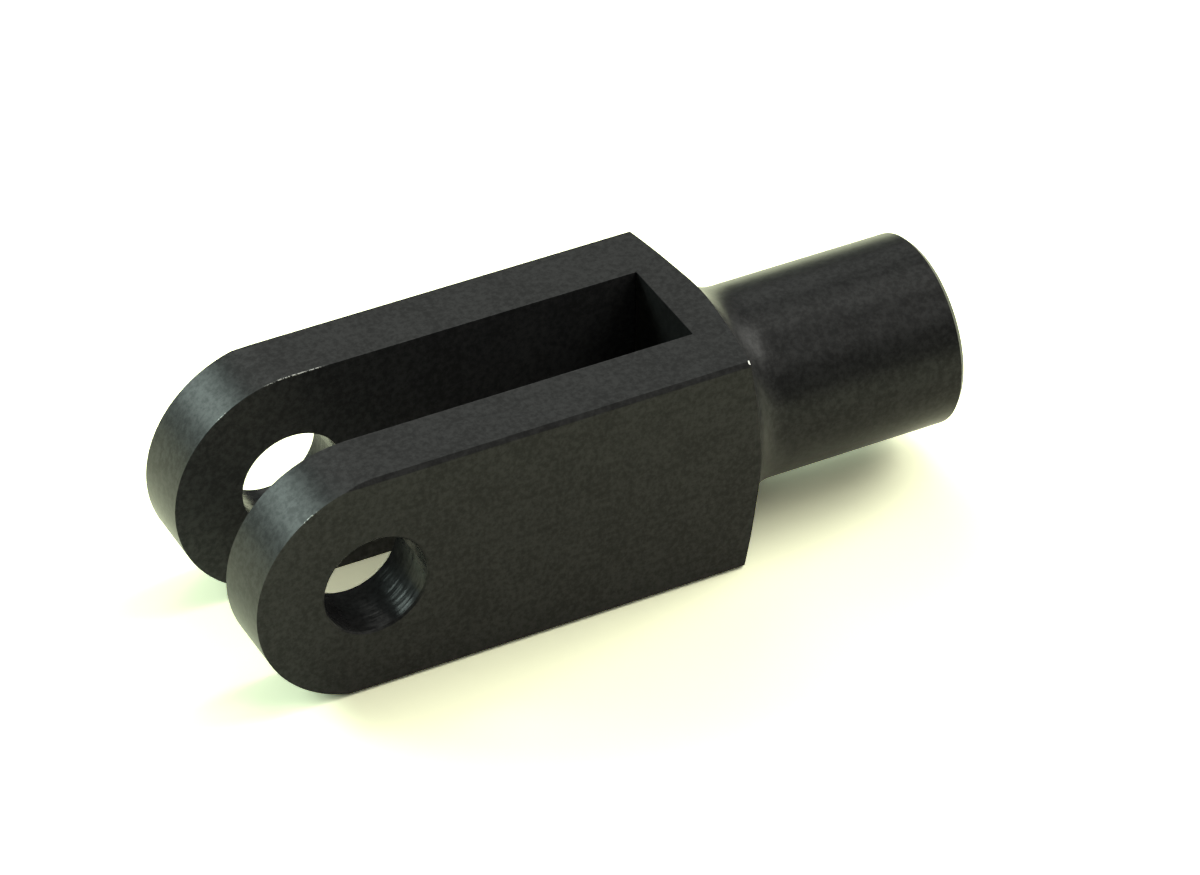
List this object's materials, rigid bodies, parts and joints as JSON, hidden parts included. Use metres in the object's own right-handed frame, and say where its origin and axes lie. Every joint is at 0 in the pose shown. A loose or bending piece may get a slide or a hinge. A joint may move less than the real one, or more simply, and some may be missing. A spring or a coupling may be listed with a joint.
{
  "type": "clevis rod end",
  "caption": "Black steel fork head: round-nosed ears bored for a cross pin, a milled slot between them for an eye, and a round shank tapped through for a threaded rod.",
  "frame": {"origin": "centre of the cross pin's bore, midway between the two ears", "axes": "+X along the rod's thread towards the rod, +Y along the cross pin, +Z out of the upper open side of the slot"},
  "size_m": [0.06, 0.019, 0.019],
  "materials": {
    "black_oxide_steel": "black oxide over a milled surface, satin"
  },
  "bodies": {
    "root": {"clevis_body": "black_oxide_steel"}
  },
  "joints": []
}
